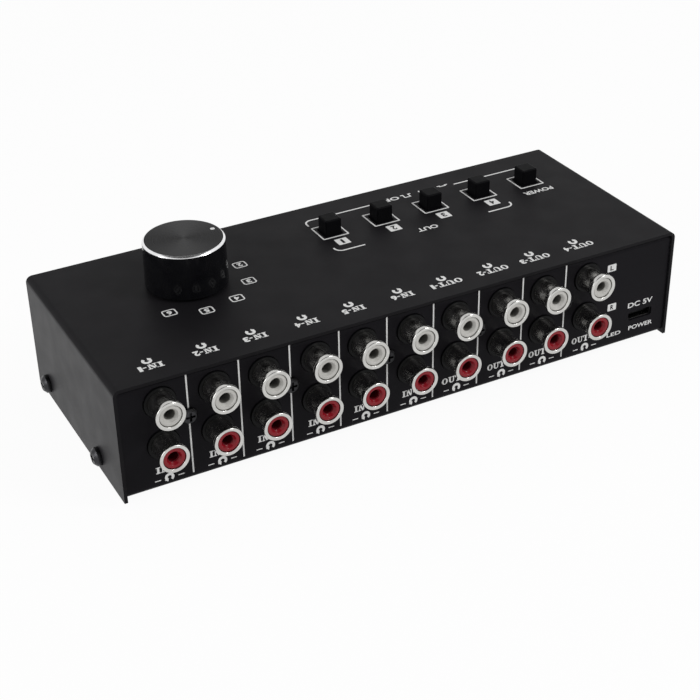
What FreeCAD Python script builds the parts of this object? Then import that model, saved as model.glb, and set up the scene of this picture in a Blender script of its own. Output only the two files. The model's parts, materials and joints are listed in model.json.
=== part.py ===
import FreeCAD, Part
import math
import os

V = FreeCAD.Vector
UP = V(0, 0, 1)
BACK = V(0, 1, 0)
RIGHT = V(1, 0, 0)

# Frame: millimetres, +X to the right of someone at the front, +Y towards the jacks, +Z up.
# The origin is on the surface the feet stand on, under the middle of the whole selector.
# spare is how far a cutting block runs past the face it cuts.

# Case
case_length = 183.0
case_depth = 72.0
case_height = 36.0
sheet = 1.0
spare = 1.0
cover_bend_radius = 2.0
base_bend_radius = 1.6
case_gap = 0.1
cover_drop = 0.9
panel_recess = 0.6
panel_flange = 5.0
end_flange_height = 9.0
end_flange_relief = 3.0
jack_reach = 7.6

# End screws
end_screw_height = 4.6
end_screw_rear_inset = 18.5
end_screw_front_inset = 10.3
screw_head_radius = 2.75
screw_head_height = 2.1
screw_shank_radius = 1.45
screw_shank_length = 4.0
screw_recess_width = 0.7
screw_recess_depth = 1.1
screw_recess_share = 0.6
screw_crown_share = 0.45
screw_clearance = 0.15
thread_clearance = 0.05
burr_radius = 2.6
burr_height = 1.2

# Feet
foot_height = 3.0
foot_radius = 4.5
foot_taper = 0.5
foot_end_inset = 13.5
foot_side_inset = 10.0

# Boards
board_thickness = 1.6
board_side_gap = 3.2
board_panel_gap = 0.5
control_board_rear_inset = 27.0
spacer_flats = 5.0
spacer_bore_radius = 1.45
spacer_spigot_radius = 1.8
spacer_stud_length = 5.0
spacer_end_inset = 7.5
spacer_front_inset = 11.5
spacer_rear_inset = 35.0
board_screw_length = 6.0
board_screw_head_radius = 2.5
board_screw_head_height = 1.8

# Jacks
block_pitch = 30.6
column_pitch = 15.85
first_block_inset = 20.75
length_without_jacks = 39.0
upper_row_drop = 7.4
row_spacing = 13.5
lower_row_above_board = 7.0
housing_width = 28.8
housing_depth = 11.0
housing_above_row = 4.6
housing_wall = 1.2
housing_front_wall = 7.5
housing_edge_radius = 0.5
collar_radius = 4.6
collar_stand_out = 0.5
panel_hole_clearance = 0.2
neck_radius = 3.7
lip_radius = 4.3
lip_length = 1.5
flare_length = 0.9
lip_edge = 0.25
sleeve_wall = 0.4
mouth_bevel = 0.5
sleeve_seat = 6.8
bore_clearance = 0.05
insert_recess = 0.5
insert_cone_radius = 2.5
insert_cone_depth = 1.1
pin_hole_radius = 1.65
pin_hole_length = 3.0
contact_wall = 0.35
contact_step = 1.2
tail_width = 0.7
tail_thickness = 0.4
tail_below_board = 0.8
tail_hole_radius = 0.5
block_screw_head_radius = 2.3
block_screw_head_height = 1.4
block_screw_shank_radius = 1.25
block_screw_length = 7.0

# Power inlet and light
inlet_end_inset = 10.5
slot_width = 9.0
slot_height = 3.0
slot_corner = 0.8
inlet_width = 9.4
inlet_height = 3.4
inlet_length = 7.0
inlet_wall = 0.3
inlet_corner = 1.2
inlet_core_depth = 2.0
tongue_width = 6.7
tongue_thickness = 0.7
tongue_length = 4.2
led_end_inset = 23.2
led_radius = 1.5
led_flange_radius = 1.9
led_flange_length = 0.8
led_stand_out = 0.9
led_above_board = 2.1
led_hole_clearance = 0.1
led_lead_width = 0.5
led_lead_spacing = 1.8
led_lead_run = 1.8

# Relays and the link between the boards
relay_width = 9.0
relay_length = 14.0
relay_height = 9.0
relay_edge_radius = 0.6
relay_y = 12.8
input_count = 6
output_count = 4
link_x = -27.0
link_y = 0.5
link_pitch = 2.0
link_columns = 8
link_rows = 2
link_width = 4.6
link_socket_height = 7.5
link_header_height = 2.2
link_pin_width = 0.5
link_slot_width = 0.8
link_pin_engage = 4.0
link_pin_end_gap = 1.0
link_pin_above = 1.0

# Rotary switch
dial_end_inset = 40.2
dial_y = -9.0
dial_rest_angle = 187.0
dial_step = 34.0
dial_stops = 6
rotary_height = 11.0
rotary_width = 20.0
rotary_floor = 1.2
rotary_cavity_radius = 8.4
rotary_plate_width = 20.6
rotary_plate_thickness = 1.0
rotary_corner = 1.5
bushing_radius = 3.4
bushing_above_cover = 5.6
bushing_chamfer = 0.3
shaft_radius = 3.0
shaft_clearance = 0.05
shaft_above_cover = 12.4
shaft_flat_depth = 0.8
shaft_flat_length = 6.0
shaft_lift = 0.4
rotor_radius = 7.4
rotor_lift = 0.9
rotor_thickness = 3.0
star_radius = 6.6
star_thickness = 1.6
star_notch_radius = 0.9
star_notch_depth = 0.5
wiper_width = 1.6
wiper_thickness = 0.3
wiper_drop = 0.6
terminal_ring_radius = 6.6
terminal_radius = 0.5
terminal_below_board = 1.2
terminal_hole_clearance = 0.15
detent_turn = 90.0
detent_width = 5.0
detent_thickness = 0.4
detent_ball_radius = 0.7
detent_gap = 0.1
washer_radius = 6.2
washer_thickness = 0.5
nut_flats = 10.0
nut_height = 2.2
panel_bushing_clearance = 0.2

# Knob
knob_radius = 12.0
knob_foot_radius = 12.25
knob_above_cover = 14.6
knob_gap = 0.8
knob_wall = 1.6
knob_top_thickness = 1.8
knob_chamfer = 0.7
knob_core_recess_radius = 7.4
knob_core_recess_height = 5.6
knob_core_lift = 0.4
knob_core_clearance = 0.05

# Push buttons, from the first output to the power button
button_names = ["output_1", "output_2", "output_3", "output_4", "power"]
power_button_inset = 19.5
button_pitch = 18.0
button_y = -17.3
button_hole = 6.4
cap_width = 5.4
cap_stand_out = 5.0
cap_stop_gap = 0.7
button_hole_corner = 0.5
cap_edge_radius = 0.45
cap_socket_depth = 4.5
cap_socket_clearance = 0.05
button_travel = 2.5
push_width = 7.6
push_height = 8.0
push_roof = 0.8
push_floor = 0.6
push_wall = 0.9
push_edge_radius = 0.5
push_roof_clearance = 0.15
plunger_width = 3.0
plunger_flange_width = 5.2
plunger_flange_height = 1.0
plunger_flange_gap = 0.1
plunger_pin_radius = 0.7
plunger_pin_gap = 0.4
spring_radius = 1.7
spring_wire_radius = 0.15
spring_wire_flats = 8
spring_turns = 5
push_pin_width = 0.6
push_pin_spacing_x = 5.0
push_pin_spacing_y = 2.0
push_pin_below_board = 1.2
push_pin_hole_clearance = 0.15

# Heights and faces that follow from the sizes above
cover_bottom = foot_height - cover_drop
cover_top = cover_bottom + case_height
cover_inner = cover_top - sheet
base_bottom = foot_height
base_inner = base_bottom + sheet
base_top = cover_inner - case_gap
end_inner = case_length / 2 - sheet
base_end = end_inner - case_gap
case_y = -jack_reach / 2
front_edge = case_y - case_depth / 2
rear_edge = case_y + case_depth / 2
front_face = front_edge + panel_recess
rear_face = rear_edge - panel_recess
front_inner = front_face + sheet
rear_inner = rear_face - sheet
mouth_y = rear_edge + jack_reach
upper_row_z = cover_top - upper_row_drop
lower_row_z = upper_row_z - row_spacing
row_middle_z = upper_row_z - row_spacing / 2
main_board_top = lower_row_z - lower_row_above_board
main_board_bottom = main_board_top - board_thickness
control_board_top = cover_inner - rotary_height
control_board_bottom = control_board_top - board_thickness
foot_x = case_length / 2 - foot_end_inset
foot_y = case_depth / 2 - foot_side_inset
first_block_x = case_length / 2 - first_block_inset
block_count = 1 + int((case_length - first_block_inset - length_without_jacks) / block_pitch)
block_centres = [first_block_x - block_pitch * i for i in range(block_count)]
column_centres = [x + side * column_pitch / 2 for x in block_centres for side in (1, -1)]
spacer_x = case_length / 2 - spacer_end_inset
spacer_y = (front_edge + spacer_front_inset, rear_edge - spacer_rear_inset)
spacer_places = [(x, y) for x in (-spacer_x, spacer_x) for y in spacer_y]
power_button_x = power_button_inset - case_length / 2
button_centres = [power_button_x + button_pitch * i for i in range(len(button_names))][::-1]
inlet_x = inlet_end_inset - case_length / 2
led_x = led_end_inset - case_length / 2
dial_x = case_length / 2 - dial_end_inset
dial_centre_y = case_y + dial_y
button_centre_y = case_y + button_y
inlet_z = main_board_top + inlet_height / 2
led_z = main_board_top + led_above_board
relay_centre_y = relay_y + case_y


def box(x0, x1, y0, y1, z0, z1):
    return Part.makeBox(x1 - x0, y1 - y0, z1 - z0, V(x0, y0, z0))


def post(x, y, width_x, width_y, z0, z1):
    return box(x - width_x / 2, x + width_x / 2, y - width_y / 2, y + width_y / 2, z0, z1)


def rod(radius, start, length, axis=UP):
    return Part.makeCylinder(radius, length, start, axis)


def edges_along(shape, axis):
    found = []
    for edge in shape.Edges:
        ends = [vertex.Point for vertex in edge.Vertexes]
        if len(ends) == 2:
            run = ends[1].sub(ends[0])
            if run.Length > 1e-6 and abs(abs(run.dot(axis)) - run.Length) < 1e-6:
                found.append(edge)
    return found


def rounded(shape, radius, axis):
    return shape.makeFillet(radius, edges_along(shape, axis))


def turned(profile, base, axis):
    """Turn a closed outline of (radius, distance along the axis) points about the axis."""
    side = RIGHT if abs(axis.z) > 0.5 else UP
    points = [base + side * r + axis * h for r, h in profile]
    face = Part.Face(Part.makePolygon(points + points[:1]))
    return face.revolve(base, axis, 360)


def hexagon(flats, x, y, z0, z1):
    radius = flats / math.sqrt(3)
    corners = [V(x + radius * math.cos(math.radians(60 * i)),
                 y + radius * math.sin(math.radians(60 * i)), z0) for i in range(6)]
    return Part.Face(Part.makePolygon(corners + corners[:1])).extrude(V(0, 0, z1 - z0))


def one_solid(shape):
    return shape.Solids[0] if len(shape.Solids) == 1 else shape


def write(name, solids):
    shape = Part.makeCompound(solids) if len(solids) > 1 else one_solid(solids[0])
    shape.exportStep("parts/" + name + ".step")


def cross_recess(centre, axis, head_radius):
    """Two crossed slots sunk into a screw head whose face is at centre, facing along axis."""
    half = head_radius * screw_recess_share
    thin = screw_recess_width / 2
    deep = screw_recess_depth
    if axis.x:
        low = min(0, -deep * axis.x)
        first = Part.makeBox(deep, 2 * half, 2 * thin, centre + V(low, -half, -thin))
        second = Part.makeBox(deep, 2 * thin, 2 * half, centre + V(low, -thin, -half))
    elif axis.y:
        first = Part.makeBox(2 * half, deep, 2 * thin, centre + V(-half, -deep, -thin))
        second = Part.makeBox(2 * thin, deep, 2 * half, centre + V(-thin, -deep, -half))
    else:
        first = Part.makeBox(2 * half, 2 * thin, deep, centre + V(-half, -thin, -deep))
        second = Part.makeBox(2 * thin, 2 * half, deep, centre + V(-thin, -half, -deep))
    return first.fuse(second)


def pan_screw(seat, axis, head_radius, head_height, shank_radius, length):
    """A pan head that sits on the seat point, with its shank running back into the part."""
    crown = head_height * screw_crown_share
    outline = [(0, -length), (shank_radius, -length), (shank_radius, 0), (head_radius, 0),
               (head_radius, head_height - crown), (head_radius - crown, head_height), (0, head_height)]
    return turned(outline, seat, axis).cut(cross_recess(seat + axis * head_height, axis, head_radius))


def end_screw_places():
    front_y = front_edge + end_screw_front_inset
    rear_y = rear_edge - end_screw_rear_inset
    return [(side, y, cover_bottom + end_screw_height) for side in (-1, 1) for y in (front_y, rear_y)]


def top_cover():
    outer = box(-case_length / 2, case_length / 2, front_edge, rear_edge, cover_bottom, cover_top)
    top_ends = [edge for edge in edges_along(outer, BACK) if edge.CenterOfMass.z > cover_inner]
    outer = outer.makeFillet(cover_bend_radius, top_ends)
    inner = box(-end_inner, end_inner, front_edge - spare, rear_edge + spare,
                cover_bottom - spare, cover_inner)
    inner_ends = [edge for edge in edges_along(inner, BACK) if edge.CenterOfMass.z > cover_bottom]
    inner = inner.makeFillet(cover_bend_radius - sheet, inner_ends)
    below = cover_inner - spare
    length = sheet + 2 * spare
    tools = [inner, rod(bushing_radius + panel_bushing_clearance, V(dial_x, dial_centre_y, below), length)]
    for x in button_centres:
        hole = post(x, button_centre_y, button_hole, button_hole, below, cover_top + spare)
        tools.append(rounded(hole, button_hole_corner, UP))
    for side, y, z in end_screw_places():
        start = V(side * (end_inner - spare), y, z)
        tools.append(rod(screw_shank_radius + screw_clearance, start, length, RIGHT * side))
    return [outer.cut(tools)]


def jack_places():
    return [(x, z) for x in column_centres for z in (upper_row_z, lower_row_z)]


def rear_panel_holes():
    start_y = rear_inner - spare
    length = sheet + 2 * spare
    tools = []
    for x, z in jack_places():
        tools.append(rod(collar_radius + panel_hole_clearance, V(x, start_y, z), length, BACK))
    for x in block_centres:
        radius = block_screw_shank_radius + screw_clearance
        tools.append(rod(radius, V(x, start_y, row_middle_z), length, BACK))
    tools.append(rod(led_radius + led_hole_clearance, V(led_x, start_y, led_z), length, BACK))
    tools.append(inlet_bar(slot_width, slot_height, slot_corner, start_y, start_y + length))
    return tools


def base_chassis():
    outer = rounded(box(-base_end, base_end, front_face, rear_face, base_bottom, base_top),
                    base_bend_radius, RIGHT)
    inner = rounded(box(-case_length, case_length, front_inner, rear_inner, base_inner, base_top - sheet),
                    base_bend_radius - sheet, RIGHT)
    opening = box(-case_length, case_length, front_face + panel_flange, rear_face - panel_flange,
                  base_top - sheet - spare, base_top + spare)
    envelope = box(-base_end, base_end, front_face - spare, rear_face + spare, base_bottom - spare, base_top)
    top_ends = [edge for edge in edges_along(envelope, BACK) if edge.CenterOfMass.z > base_inner]
    envelope = envelope.makeFillet(cover_bend_radius - sheet, top_ends)
    shell = outer.cut([inner, opening]).common(envelope)
    flanges = []
    burrs = []
    holes = []
    for side in (-1, 1):
        x0, x1 = sorted((side * base_end, side * (base_end - sheet)))
        flanges.append(box(x0, x1, front_inner + end_flange_relief, rear_inner - end_flange_relief,
                           base_inner, base_bottom + end_flange_height))
    for side, y, z in end_screw_places():
        burrs.append(rod(burr_radius, V(side * (base_end - sheet), y, z), burr_height, RIGHT * -side))
        holes.append(rod(screw_shank_radius + thread_clearance, V(side * (base_end + spare), y, z),
                         sheet + burr_height + 2 * spare, RIGHT * -side))
    for x, y in spacer_places:
        holes.append(rod(spacer_spigot_radius + thread_clearance, V(x, y, base_bottom - spare),
                         sheet + 2 * spare))
    return [shell.fuse(flanges + burrs).cut(holes + rear_panel_holes()).removeSplitter()]


def end_screws():
    return [pan_screw(V(side * case_length / 2, y, z), RIGHT * side, screw_head_radius, screw_head_height,
                      screw_shank_radius, screw_shank_length) for side, y, z in end_screw_places()]


def rubber_feet():
    return [Part.makeCone(foot_radius - foot_taper, foot_radius, foot_height, V(x, case_y + y, 0))
            for x in (-foot_x, foot_x) for y in (-foot_y, foot_y)]


def base_spacers():
    spacers = []
    for x, y in spacer_places:
        body = hexagon(spacer_flats, x, y, base_inner, main_board_bottom)
        spigot = rod(spacer_spigot_radius, V(x, y, base_bottom), sheet)
        stud = rod(screw_shank_radius - thread_clearance, V(x, y, main_board_bottom),
                   board_thickness + spacer_stud_length)
        spacers.append(body.fuse([spigot, stud]))
    return spacers


def board_spacers():
    return [hexagon(spacer_flats, x, y, main_board_top, control_board_bottom)
            .cut(rod(spacer_bore_radius, V(x, y, main_board_top), control_board_bottom - main_board_top))
            for x, y in spacer_places]


def board_screws():
    return [pan_screw(V(x, y, control_board_top), UP, board_screw_head_radius, board_screw_head_height,
                      screw_shank_radius - thread_clearance, board_screw_length) for x, y in spacer_places]


def tail_y(row):
    """The middle of a centre contact's tail. The upper row's tails pass behind the lower row's."""
    return rear_inner - housing_front_wall - contact_step * (row - 0.5)


def main_board():
    board = box(-base_end + board_side_gap, base_end - board_side_gap, front_inner + board_panel_gap,
                rear_inner - board_panel_gap, main_board_bottom, main_board_top)
    below = V(0, 0, main_board_bottom - spare)
    depth = board_thickness + 2 * spare
    holes = [rod(screw_shank_radius + screw_clearance, V(x, y, 0) + below, depth) for x, y in spacer_places]
    for x in column_centres:
        for row in (1, 2):
            holes.append(rod(tail_hole_radius, V(x, tail_y(row), 0) + below, depth))
    for side in (-1, 1):
        x = led_x + side * led_lead_spacing / 2
        holes.append(rod(tail_hole_radius, V(x, led_lead_y(), 0) + below, depth))
    return [board.cut(holes)]


def control_board():
    board = box(-base_end + board_side_gap, base_end - board_side_gap, front_inner + board_panel_gap,
                rear_edge - control_board_rear_inset, control_board_bottom, control_board_top)
    below = control_board_bottom - spare
    above = control_board_top + spare
    depth = above - below
    holes = [rod(screw_shank_radius + screw_clearance, V(x, y, below), depth) for x, y in spacer_places]
    for x, y in terminal_places():
        holes.append(rod(terminal_radius + terminal_hole_clearance, V(x, y, below), depth))
    wide = push_pin_width + 2 * push_pin_hole_clearance
    for x, y in push_pin_places():
        holes.append(post(x, y, wide, wide, below, above))
    wide = link_pin_width + 2 * push_pin_hole_clearance
    for x, y in link_pin_places():
        holes.append(post(x, y, wide, wide, below, above))
    return [board.cut(holes)]


def jack_housing(block_x):
    back = rear_inner - housing_depth
    top = upper_row_z + housing_above_row
    half = housing_width / 2
    body = box(block_x - half, block_x + half, back, rear_inner, main_board_top, top)
    body = rounded(body, housing_edge_radius, BACK)
    sleeve_bore = neck_radius + bore_clearance
    contact_bore = pin_hole_radius + contact_wall + bore_clearance
    seat_y = rear_inner - sleeve_seat
    collars = []
    bores = []
    for side in (-1, 1):
        for z in (upper_row_z, lower_row_z):
            x = block_x + side * column_pitch / 2
            collars.append(rod(collar_radius, V(x, rear_inner, z), sheet + collar_stand_out, BACK))
            bores.append(rod(sleeve_bore, V(x, seat_y, z), mouth_y - seat_y, BACK))
            bores.append(rod(contact_bore, V(x, back, z), housing_depth, BACK))
    wall_back = rear_inner - housing_front_wall
    half -= housing_wall
    chamber = box(block_x - half, block_x + half, back - spare, wall_back, main_board_top - spare,
                  top - housing_wall)
    pilot = rod(block_screw_shank_radius + thread_clearance, V(block_x, wall_back, row_middle_z),
                housing_front_wall + spare, BACK)
    return [body.fuse(collars).cut(bores + [chamber, pilot])]


def jack_sleeve(x, z):
    """A drawn sleeve with a narrow neck and a flared mouth, turned about the jack's axis."""
    length = mouth_y - (rear_inner - sleeve_seat)
    bore = neck_radius - sleeve_wall
    outline = [(bore, 0), (neck_radius, 0), (neck_radius, length - lip_length - flare_length),
               (lip_radius, length - lip_length), (lip_radius, length - lip_edge),
               (lip_radius - lip_edge, length), (bore + mouth_bevel, length), (bore, length - mouth_bevel)]
    return turned(outline, V(x, rear_inner - sleeve_seat, z), BACK)


def jack_sleeves(block_x):
    return [jack_sleeve(block_x + side * column_pitch / 2, z)
            for side in (1, -1) for z in (upper_row_z, lower_row_z)]


def insert_face_y():
    return mouth_y - insert_recess


def jack_insert(x, z):
    """The moulded insert: a pin hole with a countersunk mouth, and the contact's chamber behind it."""
    base_y = rear_inner - sleeve_seat
    length = insert_face_y() - base_y
    outer = neck_radius - sleeve_wall - bore_clearance
    chamber = pin_hole_radius + contact_wall + bore_clearance
    hole_start = length - insert_cone_depth - pin_hole_length
    outline = [(chamber, 0), (outer, 0), (outer, length), (insert_cone_radius, length),
               (pin_hole_radius, length - insert_cone_depth), (pin_hole_radius, hole_start),
               (chamber, hole_start)]
    return turned(outline, V(x, base_y, z), BACK)


def row_inserts(z):
    return [jack_insert(x, z) for x in column_centres]


def centre_contact(x, z, row):
    """A springy tube behind the pin hole, closed at its back, with a tail down through the board."""
    tube_end = insert_face_y() - insert_cone_depth - pin_hole_length - bore_clearance
    back = rear_inner - housing_front_wall - contact_step * row
    radius = pin_hole_radius + contact_wall
    tube = rod(radius, V(x, back, z), tube_end - back, BACK)
    bore = rod(pin_hole_radius, V(x, back + contact_step, z), tube_end - back, BACK)
    tail = post(x, tail_y(row), tail_width, tail_thickness, main_board_bottom - tail_below_board, z)
    return tube.cut(bore).fuse(tail)


def centre_contacts():
    rows = ((1, lower_row_z), (2, upper_row_z))
    return [centre_contact(x, z, row) for x in column_centres for row, z in rows]


def block_screws():
    return [pan_screw(V(x, rear_face, row_middle_z), BACK, block_screw_head_radius, block_screw_head_height,
                      block_screw_shank_radius, block_screw_length) for x in block_centres]


def inlet_bar(width, height, corner, y0, y1):
    """A bar with rounded long edges, centred on the inlet's axis."""
    bar = box(inlet_x - width / 2, inlet_x + width / 2, y0, y1, inlet_z - height / 2, inlet_z + height / 2)
    return rounded(bar, corner, BACK) if corner else bar


def inlet_shell():
    back = rear_inner - inlet_length
    outer = inlet_bar(inlet_width, inlet_height, inlet_corner, back, rear_inner)
    inner = inlet_bar(inlet_width - 2 * inlet_wall, inlet_height - 2 * inlet_wall,
                      inlet_corner - inlet_wall, back - spare, rear_inner + spare)
    return [outer.cut(inner)]


def inlet_core():
    back = rear_inner - inlet_length
    less = 2 * (inlet_wall + bore_clearance)
    plug = inlet_bar(inlet_width - less, inlet_height - less, inlet_corner - inlet_wall,
                     back, back + inlet_core_depth)
    tongue = inlet_bar(tongue_width, tongue_thickness, 0, back + inlet_core_depth / 2,
                       back + inlet_core_depth + tongue_length)
    return [plug.fuse(tongue)]


def led_lead_y():
    return rear_inner - led_flange_length - led_lead_run + led_lead_width / 2


def power_led():
    """A lens with a flange inside the panel, a straight stem and a half ball at its tip."""
    straight = sheet + led_stand_out - led_radius
    back = rear_inner - led_flange_length
    flange = rod(led_flange_radius, V(led_x, back, led_z), led_flange_length, BACK)
    stem = rod(led_radius, V(led_x, back, led_z), led_flange_length + straight, BACK)
    dome = Part.makeSphere(led_radius, V(led_x, rear_inner + straight, led_z), BACK, 0, 90, 360)
    return [flange.fuse([stem, dome]).removeSplitter()]


def led_leads():
    leads = []
    back = rear_inner - led_flange_length
    for side in (-1, 1):
        x = led_x + side * led_lead_spacing / 2
        run = box(x - led_lead_width / 2, x + led_lead_width / 2, back - led_lead_run, back,
                  led_z - led_lead_width / 2, led_z + led_lead_width / 2)
        drop = post(x, led_lead_y(), led_lead_width, led_lead_width,
                    main_board_bottom - tail_below_board, led_z)
        leads.append(run.fuse(drop).removeSplitter())
    return leads


def relays(columns):
    top = main_board_top + relay_height
    return [rounded(post(x, relay_centre_y, relay_width, relay_length, main_board_top, top),
                    relay_edge_radius, UP) for x in columns]


def link_pin_places():
    first_x = link_x - link_pitch * (link_columns - 1) / 2
    first_y = case_y + link_y - link_pitch * (link_rows - 1) / 2
    return [(first_x + link_pitch * i, first_y + link_pitch * j)
            for i in range(link_columns) for j in range(link_rows)]


def link_length():
    return link_pitch * (link_columns + 0.5)


def link_socket():
    y = case_y + link_y
    top = main_board_top + link_socket_height
    body = post(link_x, y, link_length(), link_width, main_board_top, top)
    slots = [post(link_x, y + side * link_pitch / 2, link_length() - link_pitch, link_slot_width,
                  top - link_pin_engage - link_pin_end_gap, top + spare) for side in (-1, 1)]
    return [body.cut(slots)]


def link_header():
    z0 = control_board_bottom - link_header_height
    body = post(link_x, case_y + link_y, link_length(), link_width, z0, control_board_bottom)
    wide = link_pin_width + 2 * thread_clearance
    z1 = control_board_bottom + spare
    return [body.cut([post(x, y, wide, wide, z0 - spare, z1) for x, y in link_pin_places()])]


def link_pins():
    z0 = main_board_top + link_socket_height - link_pin_engage
    z1 = control_board_top + link_pin_above
    return [post(x, y, link_pin_width, link_pin_width, z0, z1) for x, y in link_pin_places()]


def dial_angle(stop):
    """Direction of a numbered stop, seen from above and counted from +X. The first stop is 0."""
    return dial_rest_angle + dial_step * (1 - stop)


def around_dial(radius, degrees):
    angle = math.radians(degrees)
    return dial_x + radius * math.cos(angle), dial_centre_y + radius * math.sin(angle)


def rotary_body():
    z0 = control_board_top
    z1 = cover_inner - rotary_plate_thickness
    body = rounded(post(dial_x, dial_centre_y, rotary_width, rotary_width, z0, z1), rotary_corner, UP)
    floor_z = z0 + rotary_floor
    tools = [rod(rotary_cavity_radius, V(dial_x, dial_centre_y, floor_z), z1 - floor_z)]
    for x, y in terminal_places():
        tools.append(rod(terminal_radius + thread_clearance, V(x, y, z0 - spare), rotary_floor + 2 * spare))
    return [body.cut(tools)]


def rotary_front_plate():
    z0 = cover_inner - rotary_plate_thickness
    plate = post(dial_x, dial_centre_y, rotary_plate_width, rotary_plate_width, z0, cover_inner)
    plate = rounded(plate, rotary_corner, UP)
    centre = V(dial_x, dial_centre_y, z0)
    length = cover_top + bushing_above_cover - z0
    outline = [(0, 0), (bushing_radius, 0), (bushing_radius, length - bushing_chamfer),
               (bushing_radius - bushing_chamfer, length), (0, length)]
    bushing = turned(outline, centre, UP)
    return [plate.fuse(bushing).cut(rod(shaft_radius + shaft_clearance, centre, length))]


def terminal_places():
    places = [(dial_x, dial_centre_y)]
    for stop in range(dial_stops):
        places.append(around_dial(terminal_ring_radius, dial_angle(stop)))
    return places


def rotary_terminals():
    z0 = control_board_bottom - terminal_below_board
    z1 = control_board_top + rotary_floor
    return [rod(terminal_radius, V(x, y, z0), z1 - z0) for x, y in terminal_places()]


def rotor_bottom():
    return control_board_top + rotary_floor + rotor_lift


def switch_rotor():
    z0 = rotor_bottom()
    disc = rod(rotor_radius, V(dial_x, dial_centre_y, z0), rotor_thickness)
    star = rod(star_radius, V(dial_x, dial_centre_y, z0 + rotor_thickness), star_thickness)
    notch_ring = star_radius + star_notch_radius - star_notch_depth
    notches = []
    for stop in range(dial_stops):
        x, y = around_dial(notch_ring, dial_angle(stop) + detent_turn)
        notches.append(rod(star_notch_radius, V(x, y, z0 + rotor_thickness), star_thickness))
    hub = rod(shaft_radius + thread_clearance, V(dial_x, dial_centre_y, z0), rotor_thickness + star_thickness)
    return [disc.fuse(star.cut(notches)).cut(hub)]


def rotor_wiper():
    """A spring strip under the rotor that joins the middle terminal to the chosen one."""
    z1 = rotor_bottom()
    strip = box(0, terminal_ring_radius, -wiper_width / 2, wiper_width / 2, -wiper_thickness, 0)
    middle_finger = post(0, 0, wiper_width, wiper_width, -wiper_drop, 0)
    outer_finger = post(terminal_ring_radius, 0, wiper_width, wiper_width, -wiper_drop, 0)
    wiper = strip.fuse([middle_finger, outer_finger]).removeSplitter()
    wiper.rotate(V(0, 0, 0), UP, dial_rest_angle)
    wiper.translate(V(dial_x, dial_centre_y, z1))
    return [wiper]


def detent_spring():
    """A leaf on the body's wall whose bead runs just clear of the star's points."""
    z0 = rotor_bottom() + rotor_thickness + star_thickness / 2 - detent_ball_radius
    z1 = z0 + 2 * detent_ball_radius
    bead_centre = star_radius + detent_gap + detent_ball_radius
    leaf_face = bead_centre + detent_ball_radius / 2
    leaf = box(leaf_face, leaf_face + detent_thickness, -detent_width / 2, detent_width / 2, z0, z1)
    bead = rod(detent_ball_radius, V(bead_centre, 0, z0), z1 - z0)
    spring = leaf.fuse(bead)
    spring.rotate(V(0, 0, 0), UP, dial_rest_angle + detent_turn)
    spring.translate(V(dial_x, dial_centre_y, 0))
    inside = rod(rotary_cavity_radius, V(dial_x, dial_centre_y, z0), z1 - z0)
    return [spring.common(inside)]


def switch_shaft():
    z0 = control_board_top + rotary_floor + shaft_lift + rotor_lift
    z1 = cover_top + shaft_above_cover
    shaft = rod(shaft_radius, V(dial_x, dial_centre_y, z0), z1 - z0)
    flat = shaft_flat(z1 - shaft_flat_length, z1 + spare, 0)
    return [shaft.cut(flat)]


def shaft_flat(z0, z1, inset):
    """The block beyond the flat on the shaft, which faces away from the pointer."""
    face = shaft_radius - shaft_flat_depth + inset
    flat = box(-2 * shaft_radius, -face, -2 * shaft_radius, 2 * shaft_radius, z0, z1)
    flat.rotate(V(0, 0, 0), UP, dial_rest_angle)
    flat.translate(V(dial_x, dial_centre_y, 0))
    return flat


def knob_washer():
    centre = V(dial_x, dial_centre_y, cover_top)
    hole = rod(bushing_radius + panel_bushing_clearance, centre, washer_thickness)
    return [rod(washer_radius, centre, washer_thickness).cut(hole)]


def knob_nut():
    z0 = cover_top + washer_thickness
    nut = hexagon(nut_flats, dial_x, dial_centre_y, z0, z0 + nut_height)
    return [nut.cut(rod(bushing_radius + thread_clearance, V(dial_x, dial_centre_y, z0), nut_height))]


def knob_shell():
    """The aluminium shell of the knob, with a cut edge round its top."""
    height = knob_above_cover - knob_gap
    bore = knob_radius - knob_wall
    ceiling = height - knob_top_thickness
    outline = [(0, ceiling), (bore, ceiling), (bore, 0), (knob_foot_radius, 0),
               (knob_radius, height - knob_chamfer), (knob_radius - knob_chamfer, height), (0, height)]
    return [turned(outline, V(dial_x, dial_centre_y, cover_top + knob_gap), UP)]


def knob_core():
    """The moulded core, pressed into the shell and onto the shaft's flat."""
    z0 = cover_top + knob_gap + knob_core_lift
    z1 = cover_top + knob_above_cover - knob_top_thickness
    centre = V(dial_x, dial_centre_y, z0)
    core = rod(knob_radius - knob_wall - knob_core_clearance, centre, z1 - z0)
    recess = rod(knob_core_recess_radius, centre, knob_core_recess_height)
    shaft_top = cover_top + shaft_above_cover
    bore = rod(shaft_radius + shaft_clearance, centre, shaft_top - z0)
    flat = shaft_flat(shaft_top - shaft_flat_length, shaft_top, shaft_clearance)
    return [core.cut([recess, bore.cut(flat)])]


def push_top():
    return control_board_top + push_height


def cap_bottom():
    return push_top() + button_travel + cap_stop_gap


def button_cap(x):
    cap_height = cover_top + cap_stand_out - cap_bottom()
    cap = post(0, 0, cap_width, cap_width, 0, cap_height)
    round_edges = [edge for edge in cap.Edges if max(v.Z for v in edge.Vertexes) > cap_height / 2]
    cap = cap.makeFillet(cap_edge_radius, round_edges)
    wide = plunger_width + 2 * cap_socket_clearance
    cap = cap.cut(post(0, 0, wide, wide, -spare, cap_socket_depth))
    cap.translate(V(x, button_centre_y, cap_bottom()))
    return [cap]


def plunger_flange_top():
    return push_top() - push_roof - plunger_flange_gap


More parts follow.
